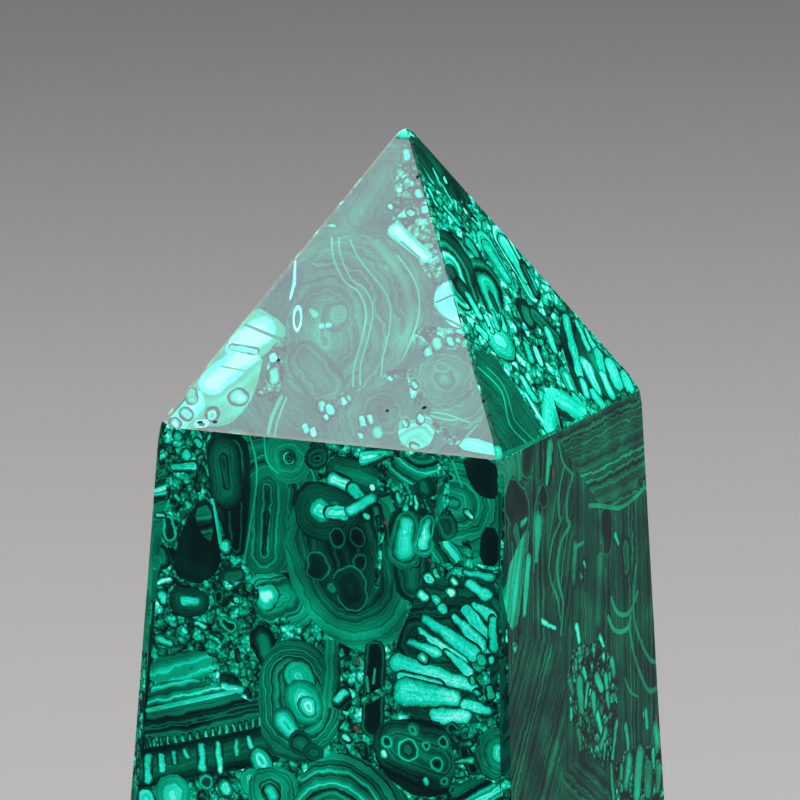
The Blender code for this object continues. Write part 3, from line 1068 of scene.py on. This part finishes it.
# %% Light lines that run over several fragments
# Each line has a width and the pixels that it passes.
LINES = {
    ("roof_front", "trace"): [
        (3.2, (377, 243), (388, 258), (401, 275), (408, 294), (411, 312), (409, 330), (402, 350),
         (398, 364)),
    ],
    ("roof_front", "line"): [
        (1.0, (332, 238), (334, 258), (344, 282), (358, 292), (366, 312), (362, 336), (354, 364),
         (353, 385)),
        (0.8, (339, 238), (341, 256), (351, 280), (364, 288), (373, 308), (368, 336), (360, 364),
         (360, 384)),
        (0.8, (350, 240), (358, 258), (372, 276), (384, 290), (391, 308), (389, 334), (383, 358),
         (381, 376)),
        (0.9, (398, 256), (412, 276), (419, 298), (418, 320), (411, 344), (403, 362)),
        (0.9, (286, 399), (278, 420), (274, 436)),
        (1.8, (281, 398), (272, 418), (268, 434)),
        (0.8, (433, 412), (448, 414), (470, 423)),
        (0.8, (432, 415), (446, 419), (458, 420)),
        (0.8, (466, 438), (478, 426)),
    ],
    ("roof_right", "line"): [
        (1.6, (478, 366), (494, 382), (503, 396), (510, 424), (526, 442)),
        (1.0, (486, 366), (500, 381), (508, 397), (515, 419), (534, 440)),
    ],
    ("shaft_right", "trace"): [
        (2.2, (565, 466), (559, 492), (559, 516), (561, 522), (554, 538), (550, 562), (551, 580),
         (557, 598), (560, 620)),
        (2.6, (573, 476), (567, 498), (567, 520), (570, 527), (562, 542), (558, 566), (559, 584),
         (563, 604), (561, 634)),
        (1.8, (559, 442), (564, 462), (572, 474)),
        (2.4, (611, 598), (616, 611), (623, 616), (631, 612), (638, 592)),
        (2.4, (608, 616), (613, 629), (620, 633), (628, 629), (631, 618)),
        (2.2, (636, 566), (634, 616), (640, 640), (650, 660), (658, 662)),
        (2.6, (629, 626), (634, 655), (644, 682), (651, 690), (659, 684)),
        (1.4, (625, 680), (630, 694), (638, 698)),
        (2.2, (590, 506), (600, 505), (618, 507), (634, 497), (650, 484)),
        (2.0, (576, 560), (577, 548), (584, 543)),
        (1.2, (540, 486), (536, 500), (533, 540), (534, 572)),
    ],
    ("shaft_front", "line"): [
        (0.8, (250, 436), (256, 470), (252, 520), (244, 562)),
        (0.8, (264, 436), (266, 462), (278, 474)),
    ],
}
print(sum(len(lines) for lines in LINES.values()), "light lines")

# %% Placing the rows
PIXELS_PER_METRE = 7050.0  # on the stone, as the photograph shows it
TIP = Vector((0, 0, HEIGHT))
TIP_HIGHLIGHT = 0.0018  # half the width of a pale growth painted on the tip as a highlight, where its small faces mirror no panel
CURVE_STEPS = 3  # straight pieces between two points of a light line
SEEN = {
    "shaft_front": SHAFT_FRONT,
    "roof_front": ROOF_FRONT,
    "roof_right": ROOF_RIGHT,
    "shaft_right": SHAFT_RIGHT,
}


def curve(points):
    """More points between the given ones, along a smooth curve that passes them all."""
    fitted = []
    befores = [points[0], *points]
    afters = [*points[2:], points[-1]]
    for before, here, there, after in zip(befores, points, points[1:], afters):
        for step in range(CURVE_STEPS):
            share = step / CURVE_STEPS
            fitted.append(0.5 * (
                2 * here + share * (there - before)
                + share**2 * (2 * before - 5 * here + 4 * there - after)
                + share**3 * (3 * here - before - 3 * there + after)
            ))
    return [*fitted, points[-1]]


for name, rows in SEEN.items():
    for style, start, end, start_width, end_width, *outline in rows:
        side = SIDES[name]
        grow(
            side, style, side.at_pixel(*start), side.at_pixel(*end),
            start_width / PIXELS_PER_METRE, end_width / PIXELS_PER_METRE,
            rounded([side.at_pixel(*pixel) for pixel in outline[0]]) if outline else None,
        )
for (name, style), lines in LINES.items():
    for width, *pixels in lines:
        points = curve([SIDES[name].at_pixel(*pixel) for pixel in pixels])
        for here, there in zip(points, points[1:]):
            grow(SIDES[name], style, here, there, width / PIXELS_PER_METRE, width / PIXELS_PER_METRE)
# A painted highlight: the pale growth on the tip stands in for light that its small faces don't mirror.
for name in ("roof_front", "roof_left"):
    grow(SIDES[name], "pale", TIP, TIP, TIP_HIGHLIGHT, TIP_HIGHLIGHT)
print(growth_count, "growths in all,", len(skin.faces), "faces")

# %% [markdown]
# ## One piece again
#
# The cuts leave many more faces than the outlines need. Two faces beside an edge are joined where they are
# the same growth, in the same cell and level with each other, and points that only divide a straight edge
# go too. A dissolve of all such edges at once would be shorter, but it drops a growth that lies like an
# island in another, so each pair is tested first. Faces round the pits are left as they are, because they
# carry the pits' fine edges.
#
# The skin's points lie exactly on the stone. The bands would look ruled by machine if they were straight,
# so each point also stores where it would rest if the stone weren't bent by a smooth wobble of half a
# millimetre, and the material draws its bands in that resting place. The outlines were pushed by the same
# wobble, so both bend together.

# %% The finished piece
STRAIGHT = -0.999999  # how closely the two edges at a point have to oppose each other


def joins_well(edge):
    """Whether the faces beside an edge are one growth in one cell, and meet along that one line only."""
    if len(edge.link_faces) != 2:
        return False
    here, there = edge.link_faces
    seed = style_layers["seed"]
    if here[seed] != there[seed] or here.normal.dot(there.normal) < LEVEL:
        return False
    cell = grid_cell(here.calc_center_median())
    if cell in PIT_CELLS or cell != grid_cell(there.calc_center_median()):
        return False
    return len(set(here.verts) & set(there.verts)) == len(set(here.edges) & set(there.edges)) + 1


def on_a_straight(vert):
    """Whether a point only divides one straight edge."""
    if len(vert.link_edges) != 2:
        return False
    one, other = (edge.other_vert(vert).co - vert.co for edge in vert.link_edges)
    return one.normalized().dot(other.normalized()) < STRAIGHT


skin.normal_update()
for edge in skin.edges[:]:
    if edge.is_valid and joins_well(edge):
        bmesh.utils.face_join(edge.link_faces[:], True)
bmesh.ops.dissolve_verts(skin, verts=[vert for vert in skin.verts if on_a_straight(vert)])
print("left after joining:", len(skin.faces), "faces")
for vert in skin.verts:
    vert[rest] = (vert.co - wobble(vert.co)) * MM
data = bpy.data.meshes.new("obelisk_stone")
skin.to_mesh(data)
skin.free()
stone = bpy.data.objects.new("obelisk_stone", data)
bpy.context.scene.collection.objects.link(stone)
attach(stone, "root")
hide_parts("obelisk")
print("triangles:", sum(len(face.vertices) - 2 for face in data.polygons))

# %% [markdown]
# ## The material
#
# Polished malachite is an opaque green stone with a clear shine. Its shades run from black-green through a
# strong blue-green to pale turquoise, and each band is one shade. One material can draw every growth,
# because a growth differs from the next only in numbers. It reads them from the faces, finds how many
# widths a point lies from the spine, and turns that depth into a shade between 0 and 1.12. Only the last
# step makes a colour of the shade.
#
# The bands are noise along the depth, as real ones are uneven in width and tone. Lobes, fibres and a slow
# drift of the shade are added to it. Broken grains are Voronoi cells at two sizes. A painted image would
# look the same from one side only, and would be blurred close up.

# %% Small helpers for node trees
class Nodes:
    """Adds nodes to a tree. Each call takes sockets or plain values, and returns the new output socket."""

    def __init__(self, tree):
        self.tree = tree

    def add(self, kind, values=(), output=0, **settings):
        node = self.tree.nodes.new(kind)
        for name, value in settings.items():
            setattr(node, name, value)
        for key, value in values.items() if isinstance(values, dict) else enumerate(values):
            if isinstance(value, bpy.types.NodeSocket):
                self.tree.links.new(value, node.inputs[key])
            else:
                node.inputs[key].default_value = value
        return node.outputs[output]

    def math(self, operation, *values):
        return self.add("ShaderNodeMath", values, operation=operation)

    def vector(self, operation, *values):
        scalar = operation in ("DOT_PRODUCT", "LENGTH")
        if operation == "SCALE":
            values = {0: values[0], "Scale": values[1]}
        return self.add("ShaderNodeVectorMath", values, output="Value" if scalar else 0, operation=operation)

    def attribute(self, name, output="Fac"):
        return self.add("ShaderNodeAttribute", output=output, attribute_name=name)

    def smooth(self, value, low, high):
        """0 below low, 1 above high and a soft slope between."""
        values = {0: value, 1: low, 2: high, 3: 0.0, 4: 1.0}
        return self.add("ShaderNodeMapRange", values, interpolation_type="SMOOTHSTEP")

    def fade(self, value, low, high):
        """1 below low, 0 above high and a soft slope between."""
        return self.math("SUBTRACT", 1.0, self.smooth(value, low, high))

    def blend(self, share, first, second):
        """A mix of two numbers."""
        return self.add("ShaderNodeMix", {0: share, 2: first, 3: second}, data_type="FLOAT")

    def noise(self, place, scale, detail, roughness=0.5, output=0):
        """Noise at a place in space or, if the place is a single number, along a line."""
        socket, space = ("W", "1D") if place.type == "VALUE" else ("Vector", "3D")
        values = {socket: place, "Scale": scale, "Detail": detail, "Roughness": roughness}
        return self.add("ShaderNodeTexNoise", values, output, noise_dimensions=space)


# %% Malachite's shades and measures
SHADES = (
    (0.00, (0.0010, 0.0070, 0.0075)),
    (0.18, (0.0008, 0.0200, 0.0170)),
    (0.36, (0.0005, 0.0650, 0.0400)),
    (0.54, (0.0003, 0.1700, 0.0850)),
    (0.70, (0.0003, 0.3200, 0.1750)),
    (0.85, (0.0008, 0.5200, 0.3500)),
    (1.00, (0.0100, 0.7200, 0.5500)),
    (1.12, (0.3000, 0.8000, 0.7100)),
)
LIGHTEST = SHADES[-1][0]
RUST = (0.10, 0.045, 0.035, 1.0)
REFRACTION = 1.55
ROUGH, ROUGH_SWING = 0.10, 0.06  # the polish, and how much the mottle changes it

MEAN = 0.5  # the middle of a noise's values
WARP, GRAIN_WARP = 1.1, 1.4  # mm of fine warp on the bands and on the broken grains
NO_LENGTH = 1e-4  # keeps a spine of no length from dividing by nothing
LOBE_SCALE, LOBE_SOFTNESS, LOBE_REACH = 0.75, 0.35, 5.0  # small lobes: how dense, how round and how far out
SWING = 2.2  # how strongly the noise of the bands counts
LINE_WIDTH = 0.045  # half the width of a fine light line, in its noise's values
CORE_END = 0.15  # widths from the spine at which the core's shade begins to give way to the rim's
EDGE_FADE = (0.05, 0.45)  # mm inside the outline at which the dark line begins to fade, and is gone
HALO_PLACE, HALO_FADE = 0.35, (0.05, 0.22)  # mm inside the outline where the light line lies, and its fading
DRIFT, MOTTLE = 0.45, 0.10  # how much the slow drift and the mottle change the shade
LARGE_GRAINS, SMALL_GRAINS = (0.65, 0.0), (1.6, 3.0)  # how dense the grains are, and a shift of their pattern
SMALL_SHARE = 0.42  # of the small grains in the mixture
TINT_POWER, TINT_RANGE, TINT_LOW = 0.7, 1.10, 0.26  # how the grains' shades spread
GRAIN_FALL = 0.55  # how much darker a grain gets towards its rim
GAP_WIDTH, GAP_DARK = 0.20, 0.45  # the dark gap between grains
print(len(SHADES), "shades of green")


# %% Malachite's bands, outlines and grains
def spine_reach(n, place):
    """How many widths a place lies from its growth's spine, the width beside it and the largest width."""
    start, end = n.attribute("spine_start", "Vector"), n.attribute("spine_end", "Vector")
    widths = n.add("ShaderNodeSeparateXYZ", [n.attribute("spine_width", "Vector")]).node.outputs
    along = n.vector("SUBTRACT", end, start)
    from_start = n.vector("SUBTRACT", place, start)
    length = n.math("MAXIMUM", n.vector("DOT_PRODUCT", along, along), NO_LENGTH)
    share = n.math("DIVIDE", n.vector("DOT_PRODUCT", from_start, along), length)
    share = n.add("ShaderNodeClamp", [share])
    aside = n.vector("SUBTRACT", from_start, n.vector("SCALE", along, share))
    wide = n.blend(share, widths[0], widths[1])
    return n.math("DIVIDE", n.vector("LENGTH", aside), wide), wide, widths[2]


def banded(n, place, reach, widest):
    """The core's shade turning into the rim's, with the bands and the fine light lines on it."""
    lobe = {"Vector": place, "Scale": LOBE_SCALE, "Smoothness": LOBE_SOFTNESS}
    lobes = n.add("ShaderNodeTexVoronoi", lobe, feature="SMOOTH_F1")
    depth = n.math("MULTIPLY", reach, widest)
    depth = n.math("MULTIPLY_ADD", lobes, n.math("MULTIPLY", n.attribute("scallop"), LOBE_REACH), depth)
    beat = n.math("DIVIDE", depth, n.attribute("pitch"))
    beat = n.math("ADD", beat, n.attribute("seed"))
    # The bands are a wandering shade. A light line lies where a second noise passes its middle.
    swing = n.math("SUBTRACT", n.noise(beat, scale=1.0, detail=3.0, roughness=0.65), MEAN)
    swing = n.math("MULTIPLY", swing, n.math("MULTIPLY", n.attribute("bands"), SWING))
    fine = n.math("ABSOLUTE", n.math("SUBTRACT", n.noise(beat, scale=2.3, detail=1.0), MEAN))
    fine = n.math("MULTIPLY", n.fade(fine, 0.0, LINE_WIDTH), n.attribute("lines"))
    shade = n.blend(n.smooth(reach, CORE_END, 1.0), n.attribute("core"), n.attribute("rim"))
    return n.math("ADD", shade, n.math("ADD", swing, fine))


def outlined(n, shade, reach, wide):
    """The shade with a dark line at the outline and a light one inside it, both of even thickness."""
    inwards = n.math("MULTIPLY", n.math("SUBTRACT", 1.0, reach), wide)
    dark = n.fade(inwards, *EDGE_FADE)
    shade = n.math("SUBTRACT", shade, n.math("MULTIPLY", dark, n.attribute("edge")))
    light = n.fade(n.math("ABSOLUTE", n.math("SUBTRACT", inwards, HALO_PLACE)), *HALO_FADE)
    return n.math("ADD", shade, n.math("MULTIPLY", light, n.attribute("halo")))


def grains(n, place, scale, shift):
    """Rounded grains. Each has its own shade, falls off towards its rim, and has a dark gap round it."""
    place = n.vector("ADD", place, (shift, shift, shift))
    near = n.add("ShaderNodeTexVoronoi", {"Vector": place, "Scale": scale})
    tint = n.add("ShaderNodeSeparateXYZ", [near.node.outputs["Color"]])
    gap = n.add("ShaderNodeTexVoronoi", {"Vector": place, "Scale": scale}, feature="DISTANCE_TO_EDGE")
    body = n.math("MULTIPLY_ADD", n.math("POWER", tint, TINT_POWER), TINT_RANGE, TINT_LOW)
    body = n.math("SUBTRACT", body, n.math("MULTIPLY", near, GRAIN_FALL))
    return n.math("SUBTRACT", body, n.math("MULTIPLY", n.fade(gap, 0.0, GAP_WIDTH), GAP_DARK))


# %% Malachite
def coloured(n, shade):
    """The colour of a shade."""
    ramp = n.tree.nodes.new("ShaderNodeValToRGB")
    ramp.color_ramp.interpolation = "B_SPLINE"
    elements = ramp.color_ramp.elements
    while len(elements) < len(SHADES):
        elements.new(1.0)
    for element, (position, colour) in zip(elements, SHADES):
        element.position = position / LIGHTEST
        element.color = (*colour, 1.0)
    n.tree.links.new(n.math("DIVIDE", shade, LIGHTEST), ramp.inputs[0])
    values = {0: n.attribute("rust"), 6: ramp.outputs[0], 7: RUST}
    return n.add("ShaderNodeMix", values, output=2, data_type="RGBA")


def malachite():
    material = bpy.data.materials.new("malachite")
    material.use_nodes = True
    n = Nodes(material.node_tree)
    shader = n.tree.nodes["Principled BSDF"]
    rest_place = n.attribute("rest", "Vector")

    # A fine warp, so that no band is perfectly even.
    warp = n.noise(rest_place, scale=0.45, detail=2.5, roughness=0.6, output="Color")
    warp = n.vector("SUBTRACT", warp, (MEAN, MEAN, MEAN))
    place = n.vector("ADD", rest_place, n.vector("SCALE", warp, WARP))

    reach, wide, widest = spine_reach(n, place)
    shade = outlined(n, banded(n, place, reach, widest), reach, wide)

    # A slow drift of the shade from place to place, then a fine mottle that is stronger on silky growths.
    drift = n.math("SUBTRACT", n.noise(rest_place, scale=0.16, detail=1.0), MEAN)
    shade = n.math("MULTIPLY_ADD", drift, DRIFT, shade)
    mottle = n.math("SUBTRACT", n.noise(rest_place, scale=2.6, detail=3.0, roughness=0.7), MEAN)
    shade = n.math("MULTIPLY_ADD", mottle, n.math("ADD", n.attribute("fibre"), MOTTLE), shade)

    # Broken grains: a shade to each cell, brightest in its middle, at two sizes.
    grain_place = n.vector("ADD", rest_place, n.vector("SCALE", warp, GRAIN_WARP))
    large, small = (grains(n, grain_place, *measures) for measures in (LARGE_GRAINS, SMALL_GRAINS))
    crumbs = n.math("ADD", n.blend(SMALL_SHARE, large, small), n.attribute("core"))
    shade = n.blend(n.attribute("crumb"), shade, crumbs)

    n.tree.links.new(coloured(n, shade), shader.inputs["Base Color"])
    n.tree.links.new(n.math("MULTIPLY_ADD", mottle, ROUGH_SWING, ROUGH), shader.inputs["Roughness"])
    shader.inputs["IOR"].default_value = REFRACTION
    print("the material has", len(n.tree.nodes), "nodes")
    return material


stone.data.materials.clear()
stone.data.materials.append(malachite())

# %% [markdown]
# ## The studio
#
# The stone stands on pale paper whose colour is painted darker far behind it, a painted shade where the
# light falls off, which makes the even grey slope of the backdrop. A polished flat face is a mirror: it looks
# green where it mirrors a dark room, and veiled where it mirrors a lamp. The front of the roof is veiled, so
# a wide soft panel hangs exactly where that face mirrors the camera's view. Two smaller ones draw the fine
# light lines along the shoulder and the roof's left edge. The other panels stand where no face mirrors them
# towards the camera. The one above is kept out of every mirror, because the back of the roof would mirror it
# white.

# %% Floor and backdrop
def stage_plane(name, size, matrix, material):
    mesh = bmesh.new()
    bmesh.ops.create_grid(mesh, x_segments=1, y_segments=1, size=size, matrix=matrix)
    data = bpy.data.meshes.new(name)
    mesh.to_mesh(data)
    mesh.free()
    data.materials.append(material)
    made = bpy.data.objects.new(name, data)
    bpy.context.scene.collection.objects.link(made)
    return made


FLOOR_SIZE = 4.0  # half its width
PAPER_NEAR, PAPER_FAR_SHADED = 0.405, 0.29  # how light the paper is near the stone, and far behind it with painted shade where the light falls off
PAPER_TINT = (0.965, 0.955)  # its green and blue, as shares of its red
PAPER_ROUGH = 0.9
PAINTED_SHADE_START, PAINTED_SHADE_END = 0.75, 2.1  # where between them the painted shade darkens the paper, in metres behind the stone


def studio_floor():
    """Pale paper, painted darker far behind the stone as painted shade where the light falls off."""
    material = bpy.data.materials.new("floor")
    material.use_nodes = True
    f = Nodes(material.node_tree)
    shader = f.tree.nodes["Principled BSDF"]
    shader.inputs["Roughness"].default_value = PAPER_ROUGH
    spot = f.add("ShaderNodeTexCoord", output="Object")
    away = f.vector("DOT_PRODUCT", spot, (-math.sin(CAMERA_TURN), math.cos(CAMERA_TURN), 0.0))
    # Painted shade: the paper's colour darkens far behind the stone, where the light falls off.
    grey = f.blend(f.smooth(away, PAINTED_SHADE_START, PAINTED_SHADE_END), PAPER_NEAR, PAPER_FAR_SHADED)
    tinted = [f.math("MULTIPLY", grey, share) for share in PAPER_TINT]
    colour = f.add("ShaderNodeCombineColor", [grey, *tinted])
    f.tree.links.new(colour, shader.inputs["Base Color"])
    return material


floor = stage_plane("floor", FLOOR_SIZE, Matrix.Identity(4), studio_floor())
floor.visible_glossy = False
print("the floor is", 2 * FLOOR_SIZE, "m wide")


# %% Light
MIDDLE = Vector((0, 0, 0.2))  # the place that all panels face
PANEL_DISTANCE = 1.2  # metres to the panels that a face mirrors
VEIL_WAY = Vector((-0.382, -0.549, 0.744))  # where the roof's front face mirrors the camera's view
SHOULDER_WAY = Vector((-0.380, -0.828, 0.413))  # the same for the shoulder's bevel
EDGE_WAY = Vector((-0.806, 0.480, 0.344))  # and for the bevel along the roof's left edge


def panel(name, place, size, power, colour=(1.0, 1.0, 1.0)):
    light = bpy.data.lights.new(name, "AREA")
    light.shape = "SQUARE"
    light.size = size
    light.energy = power
    light.color = colour
    made = bpy.data.objects.new(name, light)
    way = (MIDDLE - Vector(place)).to_track_quat("-Z", "Y")
    made.matrix_world = Matrix.Translation(place) @ way.to_matrix().to_4x4()
    bpy.context.scene.collection.objects.link(made)
    return made


panel("roof_veil", MIDDLE + PANEL_DISTANCE * VEIL_WAY, size=0.5, power=4.0, colour=(0.90, 0.99, 1.17))
panel("shoulder_line", MIDDLE + PANEL_DISTANCE * SHOULDER_WAY, size=0.22, power=1.0)
panel("edge_line", MIDDLE + PANEL_DISTANCE * EDGE_WAY, size=0.4, power=1.2)
panel("top_soft", (0.9, 0.5, 1.5), size=0.7, power=22).visible_glossy = False
panel("left_soft", (-1.3, -0.9, 0.5), size=1.0, power=12)
panel("right_soft", (1.6, -0.2, 0.8), size=0.8, power=20.5)
panel("front_soft", (0.4, -1.8, 0.9), size=0.8, power=14.5)

# %% The room that the stone mirrors
# How far up, down or back a direction has to point for a glow to begin, and to be full.
CEILING, BELOW, BEHIND = (0.35, 0.95), (0.0, 0.2), (0.3, 0.8)
CEILING_GLOW, LOW_GLOW, ROOM_GLOW = 0.5, 0.10, 0.03
ROOM_COLOUR = (0.97, 0.98, 1.0, 1.0)

world = bpy.data.worlds.new("studio")
bpy.context.scene.world = world
world.use_nodes = True
w = Nodes(world.node_tree)
way = w.add("ShaderNodeTexCoord", output="Generated")
apart = w.add("ShaderNodeSeparateXYZ", [way]).node.outputs
high = w.smooth(apart["Z"], *CEILING)
low = w.smooth(w.math("MULTIPLY", apart["Z"], -1.0), *BELOW)
low_back = w.math("MULTIPLY", low, w.smooth(apart["Y"], *BEHIND))
glow = w.math("MULTIPLY_ADD", low_back, LOW_GLOW, ROOM_GLOW)
glow = w.math("MULTIPLY_ADD", high, CEILING_GLOW, glow)
world.node_tree.links.new(glow, world.node_tree.nodes["Background"].inputs["Strength"])
world.node_tree.nodes["Background"].inputs["Color"].default_value = ROOM_COLOUR
bpy.context.scene.view_settings.view_transform = "Standard"
